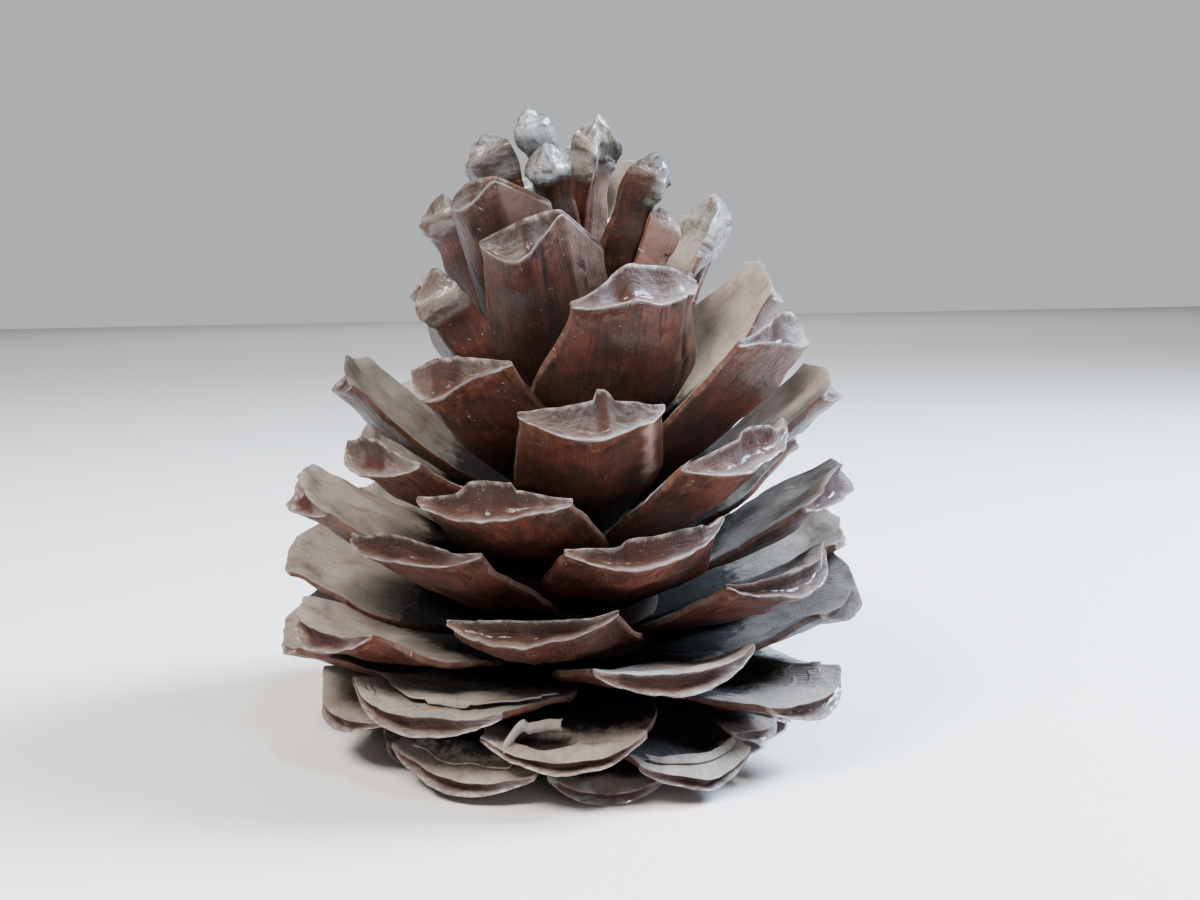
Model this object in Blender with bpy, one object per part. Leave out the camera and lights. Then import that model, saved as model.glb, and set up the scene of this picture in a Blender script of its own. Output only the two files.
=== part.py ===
# An open pine cone, standing on its stalk end as it would on a table.
# Metres, +Z up along the cone's own axis; the origin is the middle of the stalk's scar, on the table.
import math
import random

import bmesh
import bpy
from mathutils import Matrix, Vector

MM = 0.001

# The growth spiral. Scales are numbered from the stalk (0) to the tip of the cone.
SCALE_COUNT = 93
SPIRAL_STEP_DEG = 137.82
SPIRAL_START_DEG = 234.7
SEED = 1177

# How each measure runs up the cone: points of (scale number, value) that a smooth curve passes through.
# Reach is the distance out from the cone's axis. Everything is in millimetres or degrees.
GROWTH = {
    "tip_height": [
        (0, 3.0), (10, 2.8), (18, 4.0), (25, 7.9), (40, 26.2),
        (55, 45.7), (70, 70.4), (80, 83.0), (90, 92.2),
    ],
    "tip_reach": [
        (0, 17.0), (5, 29.0), (10, 36.5), (25, 43.0), (40, 44.0),
        (50, 43.5), (60, 39.5), (70, 30.5), (90, 9.5),
    ],
    "root_height": [(0, 7.0), (20, 9.0), (40, 14.5), (55, 26.5), (70, 40.5), (92, 58.0)],
    "width": [
        (0, 10.0), (14, 16.0), (20, 20.0), (28, 22.0), (40, 22.5),
        (52, 21.0), (68, 16.5), (79, 9.5), (84, 6.8), (92, 5.8),
    ],
    "depth": [
        (0, 2.2), (14, 2.8), (27, 3.4), (40, 3.9), (52, 4.3),
        (61, 5.0), (70, 6.0), (79, 5.0), (92, 4.6),
    ],
    "end_slant": [(0, 0.0), (40, 2.0), (61, 12.0), (74, 24.0), (92, 24.0)],
    "tilt": [(0, 0.0), (55, 0.0), (75, 4.0), (92, 4.0)],
    "tip_rise": [(0, 0.0), (40, 0.5), (61, 0.0), (70, -0.8), (84, -2.0), (92, -1.6)],
}

# Scales that sit off the rule, by number: turn (degrees), reach and height (mm), tilt (degrees)
# and width (as a share).
OFF_RULE = {
    9: (0, -4, 0, 0, 1.0),
    11: (0, -2, 0, 0, 1.0),
    12: (0, -8, 0, 0, 1.0),
    14: (0, 0, -1, -4, 1.0),
    16: (0, -5, 0, 0, 0.9),
    17: (0, -8, 0, 0, 0.9),
    19: (0, 0, 0, -4, 1.15),
    22: (-5, 0, -1.5, 0, 0.8),
    24: (-3, 0, 1.5, -8, 1.05),
    25: (0, -10, -5, 0, 0.9),
    27: (0, 0, -1.5, 2, 1.0),
    29: (0, 3.5, 4, -12, 1.0),
    30: (0, 0, -2, 3, 0.85),
    32: (2, 0, -4, 2, 1.15),
    35: (-1, 0, -1, 0, 1.0),
    37: (8, 2, -1, -2, 1.1),
    38: (0, -1.5, 0, 14, 1.0),
    40: (3, 0, -0.5, 3, 1.0),
    42: (0, 3, -1, -12, 1.0),
    43: (1, 0, 0, 8, 0.95),
    45: (8, -1, 2.5, -3, 1.05),
    46: (0, -3, -2.5, 14, 1.0),
    48: (2, 0, 0, 2, 1.0),
    50: (5, 1, 1.5, -16, 0.9),
    51: (0, -1, 0.5, 14, 1.0),
    53: (4, 0, -0.5, 0, 1.0),
    54: (0, -5, 0, 0, 1.0),
    55: (0, -6, 0, 0, 0.9),
    56: (1, 0, 0.5, 8, 1.0),
    58: (2, -1, -3.5, -4, 1.0),
    59: (-6, -1.5, 3, 16, 0.8),
    61: (1, 0, -2, 1, 1.0),
    63: (0, -1, -1.5, -12, 0.8),
    64: (-7, 2, 3, 8, 1.0),
    66: (-1, 0, -4.5, 5, 0.9),
    67: (0, -7, 0, 0, 0.9),
    68: (0, -7, 4, 0, 0.8),
    69: (-9, 0, 1.5, 9, 1.2),
    71: (0, -8.5, 0, 0, 0.7),
    72: (-5, 1, -2, 26, 0.8),
    74: (-10, 0, 2.5, 15, 0.95),
    76: (3, -7.5, 4, 0, 0.75),
    77: (-12, -4, 6, 8, 0.8),
    79: (-2, 1, 2.5, 16, 0.95),
    80: (0, 1, -1, 10, 1.1),
    82: (10, 0, 1, 0, 1.0),
    83: (0, -4, -5, 0, 1.0),
    84: (0, -4, 4, 0, 0.9),
    85: (0, -8, -8, 0, 1.0),
    87: (0, 0, 0, 0, 1.0),
    88: (0, -5, -9, 0, 1.0),
    90: (-22, -1, 0.5, 0, 1.0),
    92: (10, -2, 1.5, 0, 1.0),
}
# How far the other scales stray from the rule by chance, in the same order.
STRAY = (3.0, 0.8, 0.8, 6.0, 0.06)
DEPTH_STRAY = 0.07

# The woody axis that the scales grow from: (height, radius), first the rim of the stalk's scar.
AXIS_PROFILE = [
    (0.0, 6.5), (4.0, 7.0), (5.5, 10.0), (12.0, 12.0),
    (28.0, 11.0), (42.0, 8.0), (54.0, 5.0), (66.0, 1.0),
]
AXIS_SIDES = 14
ROOT_SINK = 4.0

# One scale. Its upper face is nearly flat, its underside is keeled, and its end is a dished crescent
# with a knob.
ROOT_WIDTH_SHARE = 0.55
FULL_WIDTH_FROM = 0.5
ROOT_DEPTH_SHARE = 0.55
END_ROUNDING = 0.17
EDGE_THICKNESS = 1.1
CUPPING = 0.03
BEND_FROM = 0.5
DISH_DEPTH = 1.1
KNOB_HEIGHT = 0.7
KNOB_HALF_WIDTH = 0.33

# How finely the box that a scale is bent from is cut.
CUTS_ALONG = 3
CUTS_ACROSS = 4
TIP_CROWDING = 0.8

SCALE_COLOUR = (0.115, 0.052, 0.034, 1.0)
SCALE_ROUGHNESS = 0.55


def on_curve(points, number):
    """The value at a scale number on a smooth curve through the points."""
    if number <= points[0][0]:
        return points[0][1]
    if number >= points[-1][0]:
        return points[-1][1]
    index = max(i for i, point in enumerate(points) if point[0] < number)
    (low, a), (high, b) = points[index], points[index + 1]
    before = points[index - 1] if index else (2 * low - high, 2 * a - b)
    after = points[index + 2] if index + 2 < len(points) else (2 * high - low, 2 * b - a)
    span = high - low
    start = (b - before[1]) / (high - before[0]) * span
    end = (after[1] - a) / (after[0] - low) * span
    t = (number - low) / span
    blend = t * t * (3 - 2 * t)
    return a + (b - a) * blend + t * (1 - t) * ((1 - t) * start - t * end)


def ease(low, high, x):
    """Rises smoothly from 0 at low to 1 at high."""
    t = min(1.0, max(0.0, (x - low) / (high - low)))
    return t * t * (3 - 2 * t)


def strays(number, draw):
    """What a scale adds to the rule: its own line of OFF_RULE, or a draw."""
    by_chance = [draw.uniform(-most, most) for most in STRAY]
    by_chance[-1] += 1
    return OFF_RULE.get(number, by_chance)


def measures(number):
    """Size and place of one scale, in millimetres and radians."""
    draw = random.Random(SEED + number)
    turn_by, reach_by, height_by, tilt_by, width_share = strays(number, draw)
    grown = {name: on_curve(points, number) for name, points in GROWTH.items()}
    turn = math.radians(SPIRAL_START_DEG + SPIRAL_STEP_DEG * number + turn_by)
    outward = Vector((math.sin(turn), -math.cos(turn), 0.0))
    root_reach = max(1.0, on_curve(AXIS_PROFILE, grown["root_height"]) - ROOT_SINK)
    root = outward * root_reach + Vector((0, 0, grown["root_height"]))
    tip = outward * (grown["tip_reach"] + reach_by) + Vector((0, 0, grown["tip_height"] + height_by))
    return {
        "root": root,
        "tip": tip,
        "turn": turn,
        "tilt": math.radians(grown["tilt"] + tilt_by),
        "length": (tip - root).length,
        "width": grown["width"] * width_share,
        "depth": grown["depth"] * (1 + draw.uniform(-DEPTH_STRAY, DEPTH_STRAY)),
        "tip_rise": grown["tip_rise"],
        "slant": math.tan(math.radians(grown["end_slant"])),
    }


def bend(box_point, m):
    """Bends a point of a box (across, along and through it, each -1 to 1) into the scale."""
    across, through = box_point.x, box_point.z
    share = ((box_point.y + 1) / 2) ** TIP_CROWDING
    outline = ROOT_WIDTH_SHARE + (1 - ROOT_WIDTH_SHARE) * ease(0, FULL_WIDTH_FROM, share)
    keel = m["depth"] * (ROOT_DEPTH_SHARE + (1 - ROOT_DEPTH_SHARE) * ease(0, 1, share))
    thickness = EDGE_THICKNESS + (keel - EDGE_THICKNESS) * (1 - across**2)
    top = CUPPING * m["width"] * across**2 * share + m["tip_rise"] * ease(BEND_FROM, 1, share)
    below_top = thickness * (1 - through) / 2
    x = across * outline * m["width"] / 2
    y = m["length"] * share - END_ROUNDING * m["width"] * across**2 * share**2
    y -= m["slant"] * below_top * ease(BEND_FROM, 1, share)
    z = top - below_top
    if share == 1:
        y -= DISH_DEPTH * (1 - across**2) * (1 - through**2)
        z += KNOB_HEIGHT * max(0.0, 1 - abs(across) / KNOB_HALF_WIDTH) * max(0.0, through)
    return Vector((x, y, z)) * MM


def place(m):
    """Puts a scale's own width, length and upper face where they point on the cone."""
    lengthways = (m["tip"] - m["root"]).normalized()
    sideways = -Vector((math.cos(m["turn"]), math.sin(m["turn"]), 0.0))
    upwards = sideways.cross(lengthways)
    turned = Matrix((sideways, lengthways, upwards)).transposed() @ Matrix.Rotation(m["tilt"], 3, "Y")
    return Matrix.Translation(m["root"] * MM) @ turned.to_4x4()


def cut_box(bm, axis, pieces):
    """Cuts every edge that runs along one axis of the box into equal pieces."""
    edges = [e for e in bm.edges if e.verts[0].co[axis] != e.verts[1].co[axis]]
    bmesh.ops.subdivide_edges(bm, edges=edges, cuts=pieces - 1, use_grid_fill=True)


def cut_end_face(bm):
    """Gives the end face a middle row of points, which the dish is pressed into."""
    uprights = [
        e
        for e in bm.edges
        if e.verts[0].co.z != e.verts[1].co.z and all(v.co.y == 1 and abs(v.co.x) < 1 for v in e.verts)
    ]
    bmesh.ops.subdivide_edges(bm, edges=uprights, cuts=1)


def object_from(bm, name, collection):
    mesh = bpy.data.meshes.new(name)
    bm.to_mesh(mesh)
    bm.free()
    obj = bpy.data.objects.new(name, mesh)
    collection.objects.link(obj)
    return obj


def build_scale(number, collection):
    m = measures(number)
    bm = bmesh.new()
    bmesh.ops.create_cube(bm, size=2)
    cut_box(bm, 1, CUTS_ALONG)
    cut_box(bm, 0, CUTS_ACROSS)
    cut_end_face(bm)
    for v in bm.verts:
        v.co = bend(v.co, m)
    bmesh.ops.transform(bm, matrix=place(m), verts=bm.verts)
    bmesh.ops.triangulate(bm, faces=bm.faces)
    return object_from(bm, f"scale_{number:02d}", collection)


def build_axis(collection):
    bm = bmesh.new()
    foot, top = AXIS_PROFILE[0][0], AXIS_PROFILE[-1][0]
    points = [(0.0, foot)] + [(radius, height) for height, radius in AXIS_PROFILE] + [(0.0, top)]
    verts = [bm.verts.new((x * MM, 0, z * MM)) for x, z in points]
    edges = [bm.edges.new(pair) for pair in zip(verts, verts[1:])]
    bmesh.ops.spin(
        bm,
        geom=verts + edges,
        cent=(0, 0, 0),
        axis=(0, 0, 1),
        angle=math.tau,
        steps=AXIS_SIDES,
        use_merge=True,
    )
    bmesh.ops.remove_doubles(bm, verts=bm.verts, dist=MM / 1000)
    bmesh.ops.recalc_face_normals(bm, faces=bm.faces)
    return object_from(bm, "cone", collection)


def build_below_table(collection):
    """A one metre block whose top is the table."""
    bm = bmesh.new()
    bmesh.ops.create_cube(bm, size=1, matrix=Matrix.Translation((0, 0, -0.5)))
    return object_from(bm, "below_table", collection)


def apply_boolean(obj, operation, others):
    """Joins every object of a collection to this one, or cuts them from it. All the scales at once take
    the manifold solver, because the exact one is slow on so many crossings."""
    modifier = obj.modifiers.new(operation.lower(), "BOOLEAN")
    modifier.operation = operation
    modifier.operand_type = "COLLECTION"
    modifier.collection = others
    modifier.solver = "MANIFOLD"
    graph = bpy.context.evaluated_depsgraph_get()
    mesh = bpy.data.meshes.new_from_object(obj.evaluated_get(graph))
    obj.modifiers.clear()
    obj.data = mesh
    for other in list(others.objects):
        bpy.data.objects.remove(other)


def scale_material():
    material = bpy.data.materials.new("cone_scales")
    material.use_nodes = True
    surface = material.node_tree.nodes["Principled BSDF"]
    surface.inputs["Base Color"].default_value = SCALE_COLOUR
    surface.inputs["Roughness"].default_value = SCALE_ROUGHNESS
    surface.inputs["Metallic"].default_value = 0.0
    return material


def main():
    for obj in list(bpy.data.objects):
        bpy.data.objects.remove(obj)
    main_collection = bpy.context.scene.collection
    helpers = bpy.data.collections.new("helpers")
    main_collection.children.link(helpers)

    cone = build_axis(main_collection)
    for number in range(SCALE_COUNT):
        build_scale(number, helpers)
    apply_boolean(cone, "UNION", helpers)

    # The lowest scales are worn flat where they meet the table.
    build_below_table(helpers)
    apply_boolean(cone, "DIFFERENCE", helpers)
    bpy.data.collections.remove(helpers)

    cone.data.materials.clear()
    cone.data.materials.append(scale_material())
    cone.data.shade_flat()


main()
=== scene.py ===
import math
import random
from types import SimpleNamespace

import bmesh
import bpy
import numpy as np
from mathutils import Matrix, Vector


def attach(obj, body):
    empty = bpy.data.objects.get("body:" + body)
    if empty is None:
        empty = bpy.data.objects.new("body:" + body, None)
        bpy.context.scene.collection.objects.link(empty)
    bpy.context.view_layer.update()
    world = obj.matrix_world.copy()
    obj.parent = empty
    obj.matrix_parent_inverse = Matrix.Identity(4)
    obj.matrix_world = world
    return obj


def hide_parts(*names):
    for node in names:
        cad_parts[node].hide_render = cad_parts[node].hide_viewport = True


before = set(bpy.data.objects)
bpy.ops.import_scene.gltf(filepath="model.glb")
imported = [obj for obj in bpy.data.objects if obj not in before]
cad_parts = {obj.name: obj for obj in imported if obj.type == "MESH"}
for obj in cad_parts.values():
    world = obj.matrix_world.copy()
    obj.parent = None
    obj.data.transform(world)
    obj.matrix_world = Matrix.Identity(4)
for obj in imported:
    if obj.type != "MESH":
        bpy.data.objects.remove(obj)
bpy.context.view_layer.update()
mm = 0.001
tiny = 1e-6
wearBlend = 0.04  # how softly the lowest scales meet the table, in square mm

# the growth rule, the same one that the solid follows
spiral = {
    "count": 93,
    "stepDeg": 137.82,
    "startDeg": 234.7,
    "seed": 1177,
    "stray": (3.0, 0.8, 0.8, 6.0, 0.06),  # turn, reach, height, tilt, width share
    "depthStray": 0.07,
}
growth = {  # points of (scale number, value), in mm or degrees
    "tipHeight": [
        (0, 3.0), (10, 2.8), (18, 4.0), (25, 7.9), (40, 26.2),
        (55, 45.7), (70, 70.4), (80, 83.0), (90, 92.2),
    ],
    "tipReach": [
        (0, 17.0), (5, 29.0), (10, 36.5), (25, 43.0), (40, 44.0),
        (50, 43.5), (60, 39.5), (70, 30.5), (90, 9.5),
    ],
    "rootHeight": [(0, 7.0), (20, 9.0), (40, 14.5), (55, 26.5), (70, 40.5), (92, 58.0)],
    "width": [
        (0, 10.0), (14, 16.0), (20, 20.0), (28, 22.0), (40, 22.5),
        (52, 21.0), (68, 16.5), (79, 9.5), (84, 6.8), (92, 5.8),
    ],
    "depth": [
        (0, 2.2), (14, 2.8), (27, 3.4), (40, 3.9), (52, 4.3),
        (61, 5.0), (70, 6.0), (79, 5.0), (92, 4.6),
    ],
    "endSlant": [(0, 0.0), (40, 2.0), (61, 12.0), (74, 24.0), (92, 24.0)],
    "tilt": [(0, 0.0), (55, 0.0), (75, 4.0), (92, 4.0)],
    "tipRise": [(0, 0.0), (40, 0.5), (61, 0.0), (70, -0.8), (84, -2.0), (92, -1.6)],
    "head": [(0, 0.0), (80, 0.0), (86, 1.0), (92, 1.0)],  # how far the end swells into a hooked knob
    "arch": [(0, 0.0), (45, 0.4), (61, 1.2), (70, 2.6), (80, 2.4), (92, 0.6)],  # rise of the upper rim
    "endPale": [(0, 0.75), (18, 0.6), (30, 0.2), (52, 0.15), (61, 0.6), (70, 1.0), (92, 1.0)],
    "paleFrom": [(0, 0.9), (30, 0.82), (36, 0.55), (60, 0.45), (92, 0.4)],  # where the painted shade on the upper face ends and it turns pale
    "knob": [(0, 0.1), (44, 0.2), (53, 0.6), (62, 0.4), (92, 0.1)],  # height of the bump on the upper rim
    "knobWide": [(0, 6.0), (40, 6.5), (48, 5.5), (53, 3.4), (66, 2.2), (92, 1.2)],  # half its width, in mm
    "dish": [(0, 2.0), (40, 2.4), (55, 2.2), (70, 1.3), (92, 0.8)],  # depth of the hollow end face
    "hollowBrown": [  # how brown the inside of the end face is
        (0, 0.6), (35, 0.85), (48, 0.75), (53, 0.75), (58, 0.3), (70, 0.25), (92, 0.0),
    ],
    "roll": [(0, 0.9), (30, 0.7), (43, 0.5), (55, 0.0), (92, 0.0)],  # how far the upper rim rolls down
    "torn": [(0, 0.7), (30, 0.5), (40, 0.0), (92, 0.0)],  # peeling of the upper face
}
offRule = {  # turn (degrees), reach and height (mm), tilt (degrees), width share
    9: (0, -4, 0, 0, 1.0),
    11: (0, -2, 0, 0, 1.0),
    12: (0, -8, 0, 0, 1.0),
    14: (0, 0, -1, -4, 1.0),
    16: (0, -5, 0, 0, 0.9),
    17: (0, -8, 0, 0, 0.9),
    19: (0, 0, 0, -4, 1.15),
    22: (-5, 0, -1.5, 0, 0.8),
    24: (-3, 0, 1.5, -8, 1.05),
    25: (0, -10, -5, 0, 0.9),
    27: (0, 0, -1.5, 2, 1.0),
    29: (0, 3.5, 4, -12, 1.0),
    30: (0, 0, -2, 3, 0.85),
    32: (2, 0, -4, 2, 1.15),
    35: (-1, 0, -1, 0, 1.0),
    37: (8, 2, -1, -2, 1.1),
    38: (0, -1.5, 0, 14, 1.0),
    40: (3, 0, -0.5, 3, 1.0),
    42: (0, 3, -1, -12, 1.0),
    43: (1, 0, 0, 8, 0.95),
    45: (8, -1, 2.5, -3, 1.05),
    46: (0, -3, -2.5, 14, 1.0),
    48: (2, 0, 0, 2, 1.0),
    50: (5, 1, 1.5, -16, 0.9),
    51: (0, -1, 0.5, 14, 1.0),
    53: (4, 0, -0.5, 0, 1.0),
    54: (0, -5, 0, 0, 1.0),
    55: (0, -6, 0, 0, 0.9),
    56: (1, 0, 0.5, 8, 1.0),
    58: (2, -1, -3.5, -4, 1.0),
    59: (-6, -1.5, 3, 16, 0.8),
    61: (1, 0, -2, 1, 1.0),
    63: (0, -1, -1.5, -12, 0.8),
    64: (-7, 2, 3, 8, 1.0),
    66: (-1, 0, -4.5, 5, 0.9),
    67: (0, -7, 0, 0, 0.9),
    68: (0, -7, 4, 0, 0.8),
    69: (-9, 0, 1.5, 9, 1.2),
    71: (0, -8.5, 0, 0, 0.7),
    72: (-5, 1, -2, 26, 0.8),
    74: (-10, 0, 2.5, 15, 0.95),
    76: (3, -7.5, 4, 0, 0.75),
    77: (-12, -4, 6, 8, 0.8),
    79: (-2, 1, 2.5, 16, 0.95),
    80: (0, 1, -1, 10, 1.1),
    82: (10, 0, 1, 0, 1.0),
    83: (0, -4, -5, 0, 1.0),
    84: (0, -4, 4, 0, 0.9),
    85: (0, -8, -8, 0, 1.0),
    87: (0, 0, 0, 0, 1.0),
    88: (0, -5, -9, 0, 1.0),
    90: (-22, -1, 0.5, 0, 1.0),
    92: (10, -2, 1.5, 0, 1.0),
}
axisShape = {
    "profile": [  # height, radius in mm
        (0.0, 6.5), (4.0, 7.0), (5.5, 10.0), (12.0, 12.0),
        (28.0, 11.0), (42.0, 8.0), (54.0, 5.0), (66.0, 1.0),
    ],
    "sides": 72,
    "rings": 60,
    "rootSink": 4.0,
}


def onCurve(points, number):
    # the value at a scale number, on a smooth curve through the points
    if number <= points[0][0]:
        return points[0][1]
    if number >= points[-1][0]:
        return points[-1][1]
    index = max(i for i, point in enumerate(points) if point[0] < number)
    (low, a), (high, b) = points[index], points[index + 1]
    before = points[index - 1] if index else (2 * low - high, 2 * a - b)
    after = points[index + 2] if index + 2 < len(points) else (2 * high - low, 2 * b - a)
    span = high - low
    start = (b - before[1]) / (high - before[0]) * span
    end = (after[1] - a) / (after[0] - low) * span
    t = (number - low) / span
    blend = t * t * (3 - 2 * t)
    return a + (b - a) * blend + t * (1 - t) * ((1 - t) * start - t * end)


def ease(low, high, x):
    t = np.clip((x - low) / (high - low), 0.0, 1.0)
    return t * t * (3 - 2 * t)


def hump(x, middle, spread):
    # a bell of height 1
    return np.exp(-(((x - middle) / spread) ** 2))


noiseSteps = (12.9898, 78.233, 37.719)  # any large unlike numbers scatter the values
noiseReach = 43758.5453
noiseSeedStep = 7.31


def lumps(points, size, seed):
    # smooth noise from -1 to 1 at each point, with lumps about one size across
    spot = points / size + seed * noiseSeedStep
    cell = np.floor(spot)
    t = spot - cell
    t = t * t * (3 - 2 * t)
    total = np.zeros(len(points))
    for corner in np.ndindex(2, 2, 2):
        near = cell + corner
        value = np.sin(near @ np.array(noiseSteps) + seed) * noiseReach
        weight = np.prod(np.where(np.array(corner) == 1, t, 1 - t), axis=1)
        total += weight * (value - np.floor(value))
    return total * 2 - 1


def measures(number):
    # size and place of one scale by the rule, in mm and radians
    draw = random.Random(spiral["seed"] + number)
    byChance = [draw.uniform(-most, most) for most in spiral["stray"]]
    byChance[-1] += 1
    turnBy, reachBy, heightBy, tiltBy, widthShare = offRule.get(number, byChance)
    m = SimpleNamespace(**{name: onCurve(points, number) for name, points in growth.items()})
    turn = math.radians(spiral["startDeg"] + spiral["stepDeg"] * number + turnBy)
    outward = Vector((math.sin(turn), -math.cos(turn), 0.0))
    rootReach = max(1.0, onCurve(axisShape["profile"], m.rootHeight) - axisShape["rootSink"])
    m.root = outward * rootReach + Vector((0, 0, m.rootHeight))
    m.tip = outward * (m.tipReach + reachBy) + Vector((0, 0, m.tipHeight + heightBy))
    m.turn = turn
    m.tilt = math.radians(m.tilt + tiltBy)
    m.length = (m.tip - m.root).length
    m.width *= widthShare
    m.depth *= 1 + draw.uniform(-spiral["depthStray"], spiral["depthStray"])
    m.slant = math.tan(math.radians(m.endSlant))
    m.draw = draw
    return m


scaleShape = {  # in mm or shares of the scale's own size
    "cutsAcross": 36,
    "cutsAlong": 44,
    "cutsThrough": 10,
    "sideCrowding": 0.65,  # how far the grid gathers at the sides
    "endCrowding": 1.5,  # and at the end
    "gatherSpan": 0.3,
    "plainWidth": 22.0,  # the width that curl, warp and arch are given for
    "plainDepth": 5.0,
    "rootWidth": 0.5,
    "bellyAt": 0.55,
    "bellyTo": 0.92,
    "taperPower": 1.5,
    "rootDepth": 0.55,
    "keelPower": 1.6,
    "endRounding": 0.17,
    "edgeThickness": 1.0,
    "cupping": 0.03,
    "bendFrom": 0.5,
    "archLength": 7.0,
    "rollLength": 3.6,
    "seedHollow": 0.4,  # depth of the two hollows where seeds lay
    "seedHollowAt": (0.42, 0.28),  # middle and spread across
    "dip": 0.7,  # depth of the dip behind the lower lip
    "dipAt": (0.87, 0.06),  # middle and spread along
    "lip": 0.4,
    "lipAt": (-0.82, 0.22),  # middle and spread through
    "umboSpan": 1.2,
    "umboAt": (0.1, 0.8),
    "knobFrom": (3.2, 0.8),  # mm back from the end where the bump starts and is full
    "knobPush": 0.35,
    "rimRadius": 0.3,
    "curl": 1.4,
    "splitWidth": 0.035,
    "splitDepth": 0.35,
    "streakAt": (0.79, 0.07),
    "streakHeight": 0.5,
    "holeDepth": 0.8,
}
headShape = {  # the crown scales' swollen heads, in mm
    "startShare": 0.7,  # where the swelling is full, as a share of its length
    "sideBlend": 0.15,
    "dome": 0.5,
    "bulge": 0.6,
    "bulgeAt": 0.45,
    "upperBulge": 0.3,
    "neckDip": 0.9,
    "neckAt": (2.0, 2.2),  # behind the head, and its spread
    "neckWaist": 0.14,
    "waistAt": (2.5, 2.6),
    "endRadius": 2.2,
    "endRound": 0.55,
    "hook": 1.4,
    "hookLength": 5.0,
    "flare": 0.1,
}
relief = {  # noise on a scale: height, size of its lumps in mm, step of its seed
    "warp": (0.8, 11, 0),
    "blade": (0.25, 4.2, 3),
    "upperGrooves": (0.05, 0.9, 5),
    "lowerGrooves": (0.16, 0.9, 5),
    "upperDents": (0.12, 2.0, 7),
    "lowerDents": (0.16, 2.6, 9),
    "endWave": (0.45, 3.2, 11),
    "endGrain": (0.10, 0.8, 13),
    "endCreases": (0.32, 2.0, 14),
    "headWrinkles": (0.75, 1.9, 15),
    "headPimples": (0.35, 1.0, 16),
    "headDents": (0.8, 2.3, 17),
    "splitWander": (0.05, 5, 18),
    "streakRipple": (1.0, 1.2, 19),
    "headEdge": (0.7, 3, 21),
    "spotEdge": (0.25, 2.0, 22),
    "headSwell": (0.14, 3.4, 23),
    "knobEdge": (0.2, 1.6, 24),
    "patchEdge": (0.25, 1.8, 25),
    "brownEdge": (0.2, 4.0, 26),
    "streakWander": (0.05, 1.5, 27),
}
grooveStretch = (1, 0.12, 1)  # grooves run from root to tip
chances = {  # what each scale draws for itself, in this order: lowest and highest
    "belly": (1.06, 1.2),  # greatest width, as a share of the end's
    "lean": (-0.15, 0.15),  # how far right of the middle the keel runs
    "leftCurl": (-0.1, 1),
    "rightCurl": (-0.1, 1),
    "knobAt": (-0.08, 0.08),
    "knobShare": (0.6, 1.3),
    "tone": (0, 1),  # how light the scale is
}
plainScale = {  # what a scale has unless its own line below says otherwise
    "widthTrim": 1.0,
    "tiltBy": 0.0,  # degrees
    "tipBy": (0.0, 0.0),  # reach and height, in mm
    "sideBy": 0.0,  # how far the end leans to one side, in mm
    "taper": 0.0,  # how far the blade narrows to its end
    "gather": 0.0,  # how far the grid gathers where a narrow knob needs fine steps
    "umbo": 0.55,  # height of the boss in the end face, in mm
    "headFrom": -9.0,  # where the swelling begins, from the left side at -1
    "headLength": 4.6,
    "fold": (1.0, 0.0, 0.0),  # a thin wing right of this bends back and down, in mm
    "lensTo": 9.0,  # how far right the pale end face runs
    "splitAt": 9.0,  # where a dark split runs down the lower face
    "streak": 0.0,  # a pale run of resin down the right side
    "pink": 0.0,  # how pale and pink the lower face is
    "shadedHole": None,  # a hole painted black as shade: middle and half span across, mm back from the end, half depth
    "ochre": None,  # an ochre spot, in the same way
}
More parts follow.
